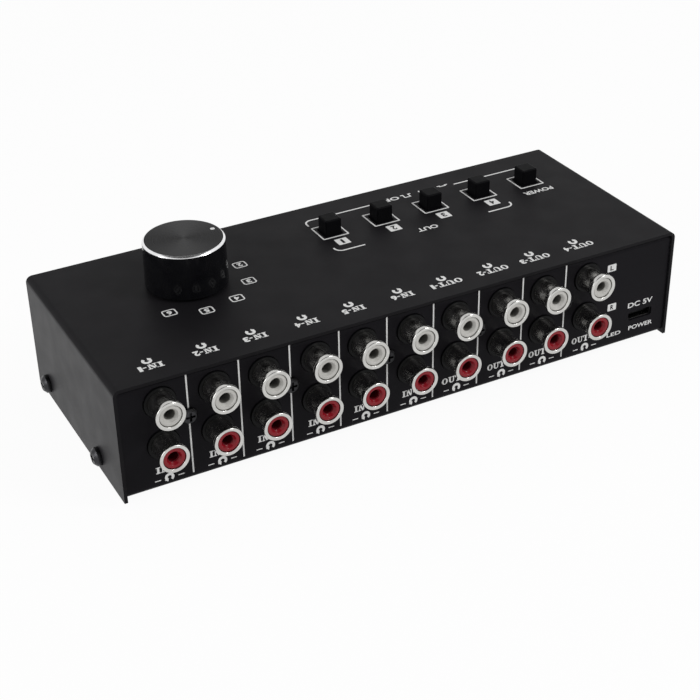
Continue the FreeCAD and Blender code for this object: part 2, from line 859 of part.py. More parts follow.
def plunger(x):
    z0 = plunger_flange_top() - plunger_flange_height
    stem = post(x, button_centre_y, plunger_width, plunger_width, z0, cap_bottom() + cap_socket_depth)
    flange = post(x, button_centre_y, plunger_flange_width, plunger_flange_width, z0, plunger_flange_top())
    pin_end = control_board_top + push_floor + button_travel + plunger_pin_gap
    pin = rod(plunger_pin_radius, V(x, button_centre_y, pin_end), z0 - pin_end)
    return [stem.fuse([flange, pin]).removeSplitter()]


def push_switch_bodies():
    bodies = []
    for x in button_centres:
        body = post(x, button_centre_y, push_width, push_width, control_board_top, push_top())
        wide = push_width - 2 * push_wall
        under_roof = push_top() - push_roof
        chamber = post(x, button_centre_y, wide, wide, control_board_top + push_floor, under_roof)
        wide = plunger_width + 2 * push_roof_clearance
        hole = post(x, button_centre_y, wide, wide, under_roof - push_roof, push_top() + push_roof)
        bodies.append(rounded(body, push_edge_radius, UP).cut([chamber, hole]))
    return bodies


def push_pin_places():
    return [(x + i * push_pin_spacing_x / 2, button_centre_y + j * push_pin_spacing_y)
            for x in button_centres for i in (-1, 1) for j in (-1, 0, 1)]


def push_switch_pins():
    z0 = control_board_bottom - push_pin_below_board
    return [post(x, y, push_pin_width, push_pin_width, z0, control_board_top) for x, y in push_pin_places()]


def return_spring(x):
    """An open coil of tilted half rings, from wire with flats, that carries the plunger's flange."""
    z0 = control_board_top + push_floor + spring_wire_radius
    z1 = plunger_flange_top() - plunger_flange_height - spring_wire_radius
    rise = (z1 - z0) / (2 * spring_turns)
    corners = []
    for i in range(spring_wire_flats):
        angle = 2 * math.pi * i / spring_wire_flats
        corners.append(V(x + spring_radius + spring_wire_radius * math.cos(angle), button_centre_y,
                         z0 + spring_wire_radius * math.sin(angle)))
    section = Part.makePolygon(corners + corners[:1])
    faces = [Part.Face(section)]
    for i in range(2 * spring_turns):
        middle = V(x, button_centre_y, z0 + rise * (i + 0.5))
        axis = V(rise / 2 if i % 2 == 0 else -rise / 2, 0, spring_radius)
        faces += section.revolve(middle, axis, 180).Faces
        section.rotate(middle, axis, 180)
    faces.append(Part.Face(section))
    skin = Part.makeShell(faces)
    skin.sewShape()
    return [Part.Solid(skin)]


def build():
    os.makedirs("parts", exist_ok=True)
    write("top_cover", top_cover())
    write("base_chassis", base_chassis())
    write("end_screws", end_screws())
    write("rubber_feet", rubber_feet())
    write("main_board", main_board())
    write("control_board", control_board())
    write("base_spacers", base_spacers())
    write("board_spacers", board_spacers())
    write("board_screws", board_screws())
    for number, x in enumerate(block_centres, 1):
        write("jack_housing_%d" % number, jack_housing(x))
        write("jack_sleeves_%d" % number, jack_sleeves(x))
    write("white_inserts", row_inserts(upper_row_z))
    write("red_inserts", row_inserts(lower_row_z))
    write("centre_contacts", centre_contacts())
    write("block_screws", block_screws())
    write("power_inlet_shell", inlet_shell())
    write("power_inlet_core", inlet_core())
    write("power_led", power_led())
    write("led_leads", led_leads())
    write("input_relays", relays(column_centres[:input_count]))
    write("output_relays", relays(column_centres[input_count:input_count + output_count]))
    write("link_socket", link_socket())
    write("link_header", link_header())
    write("link_pins", link_pins())
    write("rotary_body", rotary_body())
    write("rotary_front_plate", rotary_front_plate())
    write("rotary_terminals", rotary_terminals())
    write("detent_spring", detent_spring())
    write("knob_washer", knob_washer())
    write("knob_nut", knob_nut())
    write("knob_shell", knob_shell())
    write("knob_core", knob_core())
    write("switch_shaft", switch_shaft())
    write("switch_rotor", switch_rotor())
    write("rotor_wiper", rotor_wiper())
    write("push_switch_bodies", push_switch_bodies())
    write("push_switch_pins", push_switch_pins())
    for name, x in zip(button_names, button_centres):
        write("button_cap_" + name, button_cap(x))
        write("plunger_" + name, plunger(x))
        write("return_spring_" + name, return_spring(x))


build()
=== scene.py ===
import json
import math

import bmesh
import bpy
from mathutils import Matrix, Vector


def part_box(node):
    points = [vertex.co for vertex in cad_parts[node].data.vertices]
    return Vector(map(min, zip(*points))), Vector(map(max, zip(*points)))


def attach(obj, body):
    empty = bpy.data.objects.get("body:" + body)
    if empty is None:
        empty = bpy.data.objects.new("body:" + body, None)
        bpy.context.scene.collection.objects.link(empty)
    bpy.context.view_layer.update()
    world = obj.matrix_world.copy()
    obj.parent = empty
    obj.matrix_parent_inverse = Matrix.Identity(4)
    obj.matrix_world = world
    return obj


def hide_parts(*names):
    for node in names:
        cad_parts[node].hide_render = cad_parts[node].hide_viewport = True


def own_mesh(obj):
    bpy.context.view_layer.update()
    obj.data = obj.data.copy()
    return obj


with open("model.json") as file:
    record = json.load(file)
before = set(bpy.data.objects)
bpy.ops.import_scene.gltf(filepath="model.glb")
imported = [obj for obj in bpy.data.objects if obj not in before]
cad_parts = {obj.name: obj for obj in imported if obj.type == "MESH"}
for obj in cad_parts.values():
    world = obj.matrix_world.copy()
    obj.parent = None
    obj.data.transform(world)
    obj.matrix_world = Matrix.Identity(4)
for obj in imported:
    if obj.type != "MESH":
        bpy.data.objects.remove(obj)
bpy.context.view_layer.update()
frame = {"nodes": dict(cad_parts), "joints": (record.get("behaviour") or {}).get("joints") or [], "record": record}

MM = 0.001
UP = Vector((0, 0, 1))
BACK = Vector((0, 1, 0))
RIGHT = Vector((1, 0, 0))

# Places read from the frame, in millimetres
top_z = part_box("top_cover")[1].z / MM
rear_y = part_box("base_chassis")[1].y / MM
mouth_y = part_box("jack_sleeves_1")[1].y / MM
seat_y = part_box("jack_sleeves_1")[0].y / MM
jack_pins = [Vector(m["pos_m"]) / MM for m in frame["record"]["mounts"] if m["name"].startswith("jack_")]
columns = sorted({round(p.x, 3) for p in jack_pins}, reverse=True)
rows = sorted({round(p.z, 3) for p in jack_pins}, reverse=True)
dial_joint = next(j for j in frame["joints"] if j["name"] == "dial_turn")
dial = Vector(dial_joint["pos_m"]) / MM
knob_low, knob_high = [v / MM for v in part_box("knob_shell")]
button_names = ["output_1", "output_2", "output_3", "output_4", "power"]
caps = [[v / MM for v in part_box("button_cap_" + name)] for name in button_names]
buttons = [(low + high) / 2 for low, high in caps]

# Sizes of the details, in millimetres
neck_radius = 3.7
lip_radius = 4.3
bore_radius = 3.3
insert_radius = 3.17
pin_hole_radius = 1.65
number_ring = 18.0
dial_rest_angle = 187.0
dial_step = 34.0
pointer_radius = 9.6
print_thickness = 0.03
line = 0.55
word_height = 2.2
word_weight = 0.025
button_frame = 8.5
bracket_right = 4.3
bracket_corner = 2.2


# Materials

class Finish:
    """A material whose colour, roughness and bump vary with noise over the surface."""

    def __init__(self, name, colour, roughness, metallic=0.0, specular=0.5):
        self.material = bpy.data.materials.new(name)
        self.material.use_nodes = True
        self.tree = self.material.node_tree
        self.shader = self.tree.nodes["Principled BSDF"]
        self.shader.inputs["Metallic"].default_value = metallic
        self.shader.inputs["Specular IOR Level"].default_value = specular
        self.shader.inputs["Base Color"].default_value = (*colour, 1)
        self.shader.inputs["Roughness"].default_value = roughness
        self.colour = colour
        self.roughness = roughness
        self.place = self.tree.nodes.new("ShaderNodeTexCoord").outputs["Object"]

    def link(self, a, b):
        self.tree.links.new(a, b)

    def noise(self, size_mm, detail=3.0, stretch=(1, 1, 1)):
        """Noise with features of about that size, drawn out where stretch is below 1."""
        scale = self.tree.nodes.new("ShaderNodeMapping")
        scale.inputs["Scale"].default_value = [s / (size_mm * MM) for s in stretch]
        self.link(self.place, scale.inputs["Vector"])
        texture = self.tree.nodes.new("ShaderNodeTexNoise")
        texture.inputs["Scale"].default_value = 1.0
        texture.inputs["Detail"].default_value = detail
        self.link(scale.outputs["Vector"], texture.inputs["Vector"])
        return texture.outputs["Fac"]

    def spread(self, value, low, high, start=0.3, stop=0.7):
        ranged = self.tree.nodes.new("ShaderNodeMapRange")
        ranged.inputs["From Min"].default_value = start
        ranged.inputs["From Max"].default_value = stop
        ranged.inputs["To Min"].default_value = low
        ranged.inputs["To Max"].default_value = high
        self.link(value, ranged.inputs["Value"])
        return ranged.outputs["Result"]

    def tint(self, value, other, amount=1.0, start=0.3, stop=0.7):
        """Mix the colour reached so far towards another where the noise is high."""
        mix = self.tree.nodes.new("ShaderNodeMix")
        mix.data_type = "RGBA"
        colour = self.shader.inputs["Base Color"]
        if colour.is_linked:
            self.link(colour.links[0].from_socket, mix.inputs[6])
        else:
            mix.inputs[6].default_value = (*self.colour, 1)
        mix.inputs[7].default_value = (*other, 1)
        self.link(self.spread(value, 0, amount, start, stop), mix.inputs[0])
        self.link(mix.outputs[2], colour)
        return self

    def rough(self, value, swing):
        low, high = self.roughness - swing, self.roughness + swing
        self.link(self.spread(value, low, high), self.shader.inputs["Roughness"])
        return self

    def bump(self, value, depth_mm, strength=1.0):
        node = self.tree.nodes.new("ShaderNodeBump")
        node.inputs["Strength"].default_value = strength
        node.inputs["Distance"].default_value = depth_mm * MM
        self.link(value, node.inputs["Height"])
        normal = self.shader.inputs["Normal"]
        if normal.is_linked:
            self.link(normal.links[0].from_socket, node.inputs["Normal"])
        self.link(node.outputs["Normal"], normal)
        return self

    def set(self, name, value):
        self.shader.inputs[name].default_value = value
        return self


def painted(name, colour, roughness, specular):
    """Satin powder coat: a fine orange peel, faint cloudiness and scattered pale specks."""
    paint = Finish(name, colour, roughness, specular=specular)
    paint.tint(paint.noise(22, 2), [c * 1.25 for c in colour])
    paint.tint(paint.noise(0.22, 1), [0.06, 0.06, 0.065], 0.7, 0.77, 0.82)
    paint.rough(paint.noise(9, 4), 0.035)
    paint.bump(paint.noise(0.45, 3), 0.006)
    return paint


def moulded(name, colour, roughness, specular=0.5, grain=0.3, depth=0.004):
    plastic = Finish(name, colour, roughness, specular=specular)
    plastic.tint(plastic.noise(3, 3), [c * 0.88 for c in colour])
    plastic.rough(plastic.noise(1.5, 3), 0.04)
    plastic.bump(plastic.noise(grain, 2), depth)
    return plastic


def metal(name, colour, roughness, stretch=(1, 1, 1), grain=0.25, depth=0.002):
    bright = Finish(name, colour, roughness, metallic=1.0)
    bright.tint(bright.noise(2.5, 3), [c * 0.86 for c in colour])
    bright.rough(bright.noise(0.8, 3, stretch), 0.05)
    bright.bump(bright.noise(grain, 2, stretch), depth)
    return bright


def spun_top():
    """Dark anodised face with fine rings, whose highlight fans out from the middle."""
    face = Finish("spun_top", (0.009, 0.009, 0.0098), 0.34, metallic=1.0)
    face.set("Anisotropic", 0.85)
    tangent = face.tree.nodes.new("ShaderNodeTangent")
    tangent.direction_type = "RADIAL"
    tangent.axis = "Z"
    face.link(tangent.outputs["Tangent"], face.shader.inputs["Tangent"])
    apart = face.tree.nodes.new("ShaderNodeVectorMath")
    apart.operation = "SUBTRACT"
    apart.inputs[1].default_value = (dial.x * MM, dial.y * MM, 0)
    face.link(face.place, apart.inputs[0])
    flat = face.tree.nodes.new("ShaderNodeVectorMath")
    flat.operation = "MULTIPLY"
    flat.inputs[1].default_value = (1, 1, 0)
    face.link(apart.outputs["Vector"], flat.inputs[0])
    length = face.tree.nodes.new("ShaderNodeVectorMath")
    length.operation = "LENGTH"
    face.link(flat.outputs["Vector"], length.inputs[0])
    rings = face.tree.nodes.new("ShaderNodeTexNoise")
    rings.noise_dimensions = "1D"
    rings.inputs["Scale"].default_value = 1 / (0.16 * MM)
    rings.inputs["Detail"].default_value = 4
    face.link(length.outputs["Value"], rings.inputs["W"])
    face.tint(rings.outputs["Fac"], [0.023, 0.023, 0.024], 0.8, 0.35, 0.7)
    face.link(face.spread(rings.outputs["Fac"], 0.26, 0.42), face.shader.inputs["Roughness"])
    face.bump(rings.outputs["Fac"], 0.002, 0.5)
    return face


def green_board():
    board = Finish("circuit_board", (0.02, 0.12, 0.05), 0.35)
    board.tint(board.noise(1.4, 0), [0.03, 0.18, 0.08], 1.0, 0.48, 0.52)
    board.rough(board.noise(2, 3), 0.05)
    board.bump(board.noise(1.4, 0), 0.02)
    return board


case_paint = painted("satin_black_paint", (0.0085, 0.008, 0.0092), roughness=0.50, specular=0.055)
# A lighter, glossier copy of the case paint for the cover's end walls: painted sheen
end_sheen_paint = painted("end_black_paint", (0.0095, 0.009, 0.0105), roughness=0.46, specular=0.15)
panel_paint = painted("rear_black_paint", (0.0055, 0.005, 0.0065), roughness=0.38, specular=0.055)

ink = Finish("white_ink", (0.80, 0.80, 0.79), roughness=0.55)
ink.tint(ink.noise(0.5, 3), [0.66, 0.66, 0.66], 0.8)
ink.rough(ink.noise(0.6), 0.08)
ink.bump(ink.noise(0.2), 0.003)

nickel = metal("bright_nickel", (0.60, 0.595, 0.575), roughness=0.20)
neck_nickel = metal("drawn_nickel", (0.62, 0.61, 0.58), roughness=0.23, stretch=(1, 0.4, 1), grain=0.3,
                    depth=0.0008)
polished = metal("cut_aluminium", (0.86, 0.86, 0.87), roughness=0.16)
white_plastic = moulded("white_insert_plastic", (0.56, 0.55, 0.52), roughness=0.32, specular=0.4)
red_plastic = moulded("red_insert_plastic", (0.24, 0.0025, 0.010), roughness=0.26, specular=0.22)
red_plastic.set("Coat Weight", 0.12)
# Darker copies of the insert plastics: painted shade for the inside of the pin holes
white_hole_shade = moulded("white_pin_hole", (0.15, 0.147, 0.135), roughness=0.5, specular=0.2)
red_hole_shade = moulded("red_pin_hole", (0.10, 0.0015, 0.006), roughness=0.4, specular=0.2)
black_plastic = moulded("black_plastic", (0.0045, 0.0045, 0.005), roughness=0.34, specular=0.10)
cap_plastic = moulded("matt_black_cap", (0.0035, 0.0035, 0.0042), roughness=0.45, specular=0.03, grain=0.35,
                      depth=0.010)

side_gloss = Finish("black_anodised_side", (0.004, 0.004, 0.005), roughness=0.14, specular=0.16)
side_gloss.tint(side_gloss.noise(4, 2), [0.007, 0.007, 0.008])
side_gloss.rough(side_gloss.noise(1.2, 3), 0.03)
side_gloss.bump(side_gloss.noise(0.4, 2, stretch=(1, 1, 0.2)), 0.0015)

black_steel = metal("black_oxide_steel", (0.045, 0.045, 0.048), roughness=0.38)
rubber = moulded("rubber", (0.018, 0.018, 0.018), roughness=0.75, specular=0.25, grain=0.5, depth=0.03)

lens = Finish("led_lens", (0.62, 0.06, 0.04), roughness=0.22)
lens.tint(lens.noise(1), [0.75, 0.16, 0.10])
lens.rough(lens.noise(0.7), 0.05)
lens.bump(lens.noise(0.6), 0.004)
lens.set("Subsurface Weight", 0.3)

slot_finish = {
    "painted_steel": case_paint,
    "black_steel": black_steel,
    "rubber": rubber,
    "board": green_board(),
    "brass_spacer": metal("turned_brass", (0.72, 0.56, 0.26), roughness=0.28, stretch=(1, 1, 0.2)),
    "zinc_steel": metal("zinc_plate", (0.60, 0.61, 0.62), roughness=0.34),
    "black_plastic": black_plastic,
    "nickel": nickel,
    "white_plastic": white_plastic,
    "red_plastic": red_plastic,
    "contact_metal": metal("tinned_brass", (0.60, 0.58, 0.50), roughness=0.30),
    "led_lens": lens,
    "relay_case": moulded("relay_case", (0.72, 0.72, 0.67), roughness=0.45),
    "anodised_aluminium": side_gloss,
    "nylon": moulded("nylon", (0.66, 0.63, 0.54), roughness=0.50),
    "cap_plastic": cap_plastic,
    "spring_steel": metal("spring_wire", (0.55, 0.55, 0.56), roughness=0.30, stretch=(1, 1, 0.3)),
}
slot_of = {part["node"]: part["material_slot"] for part in frame["record"]["subparts"]}
body_of = {node: body for body, nodes in frame["record"]["behaviour"]["bodies"].items() for node in nodes}


def dress(node, finish):
    mesh = frame["nodes"][node].data
    mesh.materials.clear()
    mesh.materials.append(finish.material)


for node, slot in slot_of.items():
    dress(node, slot_finish[slot])

# Each return spring gets a mesh of its own, as it shortens with its button
for name in button_names:
    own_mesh(frame["nodes"]["return_spring_" + name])


# Building pieces

def settle(name, form, finishes, body, replaced=(), sharp=35):
    """Turn a bmesh into a piece of the object that rides on a body."""
    mesh = bpy.data.meshes.new(name)
    bmesh.ops.recalc_face_normals(form, faces=form.faces)
    form.to_mesh(mesh)
    form.free()
    if "custom_normal" in mesh.attributes:
        mesh.attributes.remove(mesh.attributes["custom_normal"])
    for face in mesh.polygons:
        face.use_smooth = True
    mesh.set_sharp_from_angle(angle=math.radians(sharp))
    for finish in finishes:
        mesh.materials.append(finish.material)
    piece = bpy.data.objects.new(name, mesh)
    bpy.context.scene.collection.objects.link(piece)
    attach(piece, body)
    if replaced:
        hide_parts(*replaced)
    return piece


def bend(centre, radius, start, stop, steps=6):
    """Points of an arc in a profile, from one angle to another in degrees."""
    points = []
    for i in range(steps + 1):
        angle = math.radians(start + (stop - start) * i / steps)
        points.append((centre[0] + radius * math.cos(angle), centre[1] + radius * math.sin(angle)))
    return points


def lathe(form, profile, base, axis, marks=(), closed=True, segments=96):
    """Turn (radius, height) points about an axis. marks gives (first point, material) in order."""
    side = RIGHT if abs(axis.z) > 0.5 else UP
    other = axis.cross(side)
    rings = []
    for radius, height in profile:
        centre = base + axis * height
        if radius < 1e-6:
            rings.append([form.verts.new(centre * MM)])
            continue
        ring = []
        for i in range(segments):
            angle = 2 * math.pi * i / segments
            outward = side * math.cos(angle) + other * math.sin(angle)
            ring.append(form.verts.new((centre + outward * radius) * MM))
        rings.append(ring)
    following = rings[1:] + rings[:1] if closed else rings[1:]
    for index, (low, high) in enumerate(zip(rings, following)):
        number = 0
        for first, material in marks:
            if index >= first:
                number = material
        for i in range(segments):
            j = (i + 1) % segments
            corners = [low[i % len(low)], low[j % len(low)], high[j % len(high)], high[i % len(high)]]
            corners = [v for k, v in enumerate(corners) if v not in corners[:k]]
            if len(corners) > 2:
                form.faces.new(corners).material_index = number


def softened(node, width, finishes):
    """A copy of a solid with its sharp edges rounded a little. A second finish, a painted sheen, is for its ends.
    """
    form = bmesh.new()
    form.from_mesh(frame["nodes"][node].data)
    bmesh.ops.remove_doubles(form, verts=form.verts, dist=1e-6)
    bmesh.ops.dissolve_limit(form, angle_limit=math.radians(0.6), verts=form.verts, edges=form.edges)
    sharp = [e for e in form.edges if e.is_manifold and e.calc_face_angle() > math.radians(40)]
    bmesh.ops.bevel(form, geom=sharp, offset=width * MM, segments=2, profile=0.5, affect="EDGES",
                    clamp_overlap=True)
    # Faces towards +X or -X take the second finish; on the cover that is the painted sheen of its end walls
    for face in form.faces:
        if len(finishes) > 1 and abs(face.normal.x) > 0.9:
            face.material_index = 1
    piece = settle(node + "_finished", form, finishes, body_of[node], [node], 50)
    weighted = piece.modifiers.new("even_shading", "WEIGHTED_NORMAL")
    weighted.keep_sharp = True
    weighted.weight = 100
    return piece


# Case and screws

softened("top_cover", 0.22, [case_paint, end_sheen_paint])
softened("base_chassis", 0.12, [panel_paint])
softened("end_screws", 0.12, [black_steel])
softened("block_screws", 0.12, [black_steel])
for number in range(1, 6):
    softened("jack_housing_%d" % number, 0.14, [black_plastic])


# Jacks

def sleeve_profile():
    """The sleeve's wall from its seat to a flared mouth with a dished face, and back inside."""
    length = mouth_y - seat_y
    roll = 0.26
    dish = 0.14
    inner = 0.16
    flare_start = length - 2.5
    flare_end = length - 1.3
    points = [(bore_radius, 0), (neck_radius, 0), (neck_radius, flare_start - 2)]
    for i in range(9):
        share = i / 8
        ease = share * share * (3 - 2 * share)
        points.append((neck_radius + (lip_radius - neck_radius) * ease,
                       flare_start + (flare_end - flare_start) * share))
    face = len(points) - 2
    points += bend((lip_radius - roll, length - roll), roll, 0, 90)
    points += bend((bore_radius + inner, length - dish - inner), inner, 90, 180, 4)
    return points, [(0, 1), (face, 0)]


def insert_profile():
    """The moulded insert: a rounded rim, a shallow cone and a blind pin hole lined with painted shade."""
    face = mouth_y - 0.45 - seat_y
    rim = 0.2
    cone = 2.15
    points = [(0, 1.0), (insert_radius, 1.0)]
    points += bend((insert_radius - rim, face - rim), rim, 0, 90)
    points += bend((cone + rim * 0.5, face - rim * 0.5), rim * 0.5, 90, 150, 3)
    points += [(pin_hole_radius + 0.1, face - 0.75), (pin_hole_radius, face - 0.85)]
    # From here the pin hole's wall and floor take the second finish, a darker copy of the plastic as painted shade
    shade_start = len(points)
    points += [(pin_hole_radius, face - 1.15), (pin_hole_radius - 0.12, face - 1.2),
               (pin_hole_radius - 0.12, face - 5.4), (0, face - 5.4)]
    return points, [(0, 0), (shade_start, 1)]


for number in range(5):
    form = bmesh.new()
    for x in columns[2 * number:2 * number + 2]:
        for z in rows:
            profile, marks = sleeve_profile()
            lathe(form, profile, Vector((x, seat_y, z)), BACK, marks)
    name = "jack_sleeves_%d" % (number + 1)
    settle(name + "_finished", form, [nickel, neck_nickel], "case", [name])

# Each insert's pin hole takes a darker copy of its plastic, painted shade
for name, finish, hole, z in (("white_inserts", white_plastic, white_hole_shade, rows[0]),
                              ("red_inserts", red_plastic, red_hole_shade, rows[1])):
    form = bmesh.new()
    for x in columns:
        profile, marks = insert_profile()
        lathe(form, profile, Vector((x, seat_y, z)), BACK, marks, closed=False)
    settle(name + "_finished", form, [finish, hole], "case", [name])


# Knob

def knob_profile():
    """From under the top, down inside, round the foot, up the side, over the cut edge to the middle."""
    height = knob_high.z - knob_low.z
    foot = (knob_high.x - knob_low.x) / 2
    radius = foot - 0.25
    wall = 1.6
    cut = 0.6
    soft = 0.15
    points = [(0, height - 1.8), (radius - wall, height - 1.8), (radius - wall, 0)]
    points += bend((foot - soft, soft), soft, -90, 0, 4)
    side = len(points) - 1
    points += [(radius, height - cut - 0.16)]
    points += bend((radius - soft, height - cut - 0.10), soft, 0, 40, 3)
    edge = len(points) - 1
    points += bend((radius - cut - 0.02, height - soft), soft, 50, 90, 3)
    face = len(points) - 1
    points += [(radius - cut - 0.5, height), (radius * 0.5, height), (0, height)]
    return points, [(0, 0), (side, 0), (edge, 1), (face, 2)]


form = bmesh.new()
profile, marks = knob_profile()
lathe(form, profile, Vector((dial.x, dial.y, knob_low.z)), UP, marks, closed=False, segments=160)
settle("knob_shell_finished", form, [side_gloss, polished, spun_top()], "dial",
       ["knob_shell"], 30)

form = bmesh.new()
angle = math.radians(dial_rest_angle)
dot = Vector((dial.x + pointer_radius * math.cos(angle), dial.y + pointer_radius * math.sin(angle),
              knob_high.z))
lathe(form, [(0, -0.3), (0.72, -0.3)] + bend((0.66, -0.04), 0.06, 0, 90, 3) + [(0, 0.02)], dot, UP,
      closed=False, segments=40)
settle("knob_pointer_dot", form, [ink], "dial")


# Printing

class Sheet:
    """Flat printing on a face: everything is drawn in the face's own right and up directions."""

    def __init__(self, origin, right, up):
        self.origin = origin
        self.right = right
        self.up = up
        self.out = right.cross(up)
        self.form = bmesh.new()

    def at(self, x, y, level=0.0):
        return (self.origin + self.right * x + self.up * y + self.out * level) * MM

    def plate(self, points, material=0, lift=0.0):
        """A filled shape with a thin edge."""
        top = print_thickness * (1 + lift)
        upper = [self.form.verts.new(self.at(x, y, top)) for x, y in points]
        lower = [self.form.verts.new(self.at(x, y, -print_thickness)) for x, y in points]
        faces = [self.form.faces.new(upper), self.form.faces.new(lower[::-1])]
        for i in range(len(points)):
            j = (i + 1) % len(points)
            faces.append(self.form.faces.new([lower[i], lower[j], upper[j], upper[i]]))
        for face in faces:
            face.material_index = material

    def strip(self, sides, closed=False):
        """A band between pairs of left and right points."""
        rims = []
        for left, right in sides:
            rims.append([self.form.verts.new(self.at(p[0], p[1], h * print_thickness))
                         for p, h in ((left, 1), (right, 1), (right, -1), (left, -1))])
        for a, b in zip(rims, rims[1:] + rims[:1] if closed else rims[1:]):
            for k in range(4):
                self.form.faces.new([a[k], a[(k + 1) % 4], b[(k + 1) % 4], b[k]])
        if not closed:
            self.form.faces.new(rims[0])
            self.form.faces.new(rims[-1][::-1])

    def ribbon(self, points, width, closed=False):
        """A line of even width along the points, with mitred corners."""
        count = len(points)
        sides = []
        for i in range(count):
            here = Vector(points[i])
            runs = []
            if i or closed:
                runs.append((here - Vector(points[i - 1])).normalized())
            if i < count - 1 or closed:
                runs.append((Vector(points[(i + 1) % count]) - here).normalized())
            along = sum(runs, Vector((0, 0))).normalized()
            across = Vector((-along.y, along.x))
            normal = Vector((-runs[0].y, runs[0].x))
            half = width / 2 / max(0.5, across.dot(normal))
            sides.append((here + across * half, here - across * half))
        self.strip(sides, closed)

    def words(self, text, centre, width, height, bold=0.02, material=0, lift=0.0):
        """Letters scaled to that width and height about a centre."""
        curve = bpy.data.curves.new("letters", "FONT")
        curve.body = text
        curve.offset = bold
        curve.extrude = 0.5
        curve.resolution_u = 4
        holder = bpy.data.objects.new("letters", curve)
        bpy.context.scene.collection.objects.link(holder)
        bpy.context.view_layer.update()
        mesh = bpy.data.meshes.new_from_object(holder.evaluated_get(bpy.context.evaluated_depsgraph_get()))
        bpy.data.objects.remove(holder)
        xs = [v.co.x for v in mesh.vertices]
        ys = [v.co.y for v in mesh.vertices]
        for vertex in mesh.vertices:
            x = (vertex.co.x - (max(xs) + min(xs)) / 2) * width / (max(xs) - min(xs)) + centre[0]
            y = (vertex.co.y - (max(ys) + min(ys)) / 2) * height / (max(ys) - min(ys)) + centre[1]
            level = print_thickness * (1 + lift) if vertex.co.z > 0 else -print_thickness
            vertex.co = self.at(x, y, level)
        start = len(self.form.faces)
        self.form.from_mesh(mesh)
        bpy.data.meshes.remove(mesh)
        self.form.faces.ensure_lookup_table()
        for face in self.form.faces[start:]:
            face.material_index = material


def rounded_box(centre, width, height, radius, steps=4):
    points = []
    for sx, sy, start in ((1, 1, 0), (-1, 1, 90), (-1, -1, 180), (1, -1, 270)):
        corner = (centre[0] + sx * (width / 2 - radius), centre[1] + sy * (height / 2 - radius))
        points += bend(corner, radius, start, start + 90, steps)
    return points


def turn_arrow(sheet, centre, radius, width):
    """A round arrow, open at its foot, with its head at the left end."""
    sheet.ribbon(bend(centre, radius, -52, 205, 20), width)
    angle = math.radians(205)
    end = Vector((centre[0] + radius * math.cos(angle), centre[1] + radius * math.sin(angle)))
    out = Vector((math.cos(angle), math.sin(angle)))
    ahead = Vector((-out.y, out.x))
    head = [end + out * width * 0.8, end - out * width * 0.8, end + ahead * width * 1.15]
    sheet.plate([tuple(point) for point in head], 0, 0.3)


def number_box(sheet, text, centre, width, height, filled):
    share = 0.2 if text == "1" else 0.36
    if filled:
        sheet.plate(rounded_box(centre, width, height, 0.3), 0)
        sheet.words(text, centre, width * share, height * 0.66, 0.03, 1, 1.0)
    else:
        sheet.ribbon(rounded_box(centre, width - 0.4, height - 0.4, 0.7), 0.4, True)
        sheet.words(text, centre, width * share, height * 0.56, 0.045)


def slab_letter(letter):
    """Width, bars as (x0, x1, y0, y1) and strips of a bold letter with slab feet, one unit high."""
    foot = 0.13
    head = 1 - foot
    if letter == "I":
        return 0.54, [(0, 0.54, 0, foot), (0, 0.54, head, 1), (0.13, 0.41, foot, head)], []
    if letter == "N":
        bars = [(0, 0.40, 0, foot), (0, 0.34, head, 1), (0.58, 1.0, head, 1), (0.13, 0.26, foot, head),
                (0.73, 0.86, 0, head)]
        return 1.0, bars, [([((0.08, 1), (0.38, 1)), ((0.60, 0), (0.86, 0))], False)]
    if letter == "T":
        bars = [(0, 0.90, head, 1), (0.31, 0.59, foot, head), (0.18, 0.72, 0, foot), (0, 0.11, 0.68, head),
                (0.79, 0.90, 0.68, head)]
        return 0.90, bars, []
    turns = [math.radians(a) for a in range(0, 360, 20)]
    if letter == "O":
        ring = [((0.46 + 0.46 * math.cos(a), 0.5 + 0.5 * math.sin(a)),
                 (0.46 + 0.19 * math.cos(a), 0.5 + 0.38 * math.sin(a))) for a in turns]
        return 0.92, [], [(ring, True)]
    if letter == "U":
        lower_turns = [a for a in turns if a > math.pi * 0.99]
        bowl = [((0.50 + 0.38 * math.cos(a), 0.37 + 0.37 * math.sin(a)),
                 (0.56 + 0.18 * math.cos(a), 0.37 + 0.24 * math.sin(a))) for a in lower_turns]
        band = [((0.12, head), (0.38, head))] + bowl + [((0.88, head), (0.74, head))]
        return 1.0, [(0, 0.50, head, 1), (0.62, 1.0, head, 1)], [(band, False)]
    return 0.36, [(0, 0.36, 0.34, 0.52)], []


def slab_words(sheet, text, centre, width, height):
    """A word of slab letters and plain numbers, scaled to that width and height."""
    gap = 0.07
    digit = 0.66
    narrow_digit = 0.36
    widths = []
    for character in text:
        if character.isdigit():
            widths.append(narrow_digit if character == "1" else digit)
        else:
            widths.append(slab_letter(character)[0])
    scale = width / (sum(widths) + gap * (len(text) - 1))
    low = centre[1] - height / 2
    x = centre[0] - width / 2

    def placed(points):
        return [(x + a * scale, low + b * height) for a, b in points]

    for character, wide in zip(text, widths):
        if character.isdigit():
            sheet.words(character, (x + wide * scale / 2, centre[1]), wide * scale, height, 0.05)
        else:
            bars, strips = slab_letter(character)[1:]
            for x0, x1, y0, y1 in bars:
                sheet.plate(placed([(x0, y0), (x1, y0), (x1, y1), (x0, y1)]))
            for sides, closed in strips:
                sheet.strip([placed(pair) for pair in sides], closed)
        x += (wide + gap) * scale


jack_names = ["IN-%d" % (i + 1) for i in range(6)] + ["OUT-%d" % (i + 1) for i in range(4)]


def jack_label(sheet, name, centre, width_in, width_out, height):
    slab_words(sheet, name, centre, width_in if name[0] == "I" else width_out, height)


def button_square(sheet, place):
    square = rounded_box((place.x, place.y), button_frame, button_frame, radius=0.2)
    sheet.ribbon(square, width=0.5, closed=True)


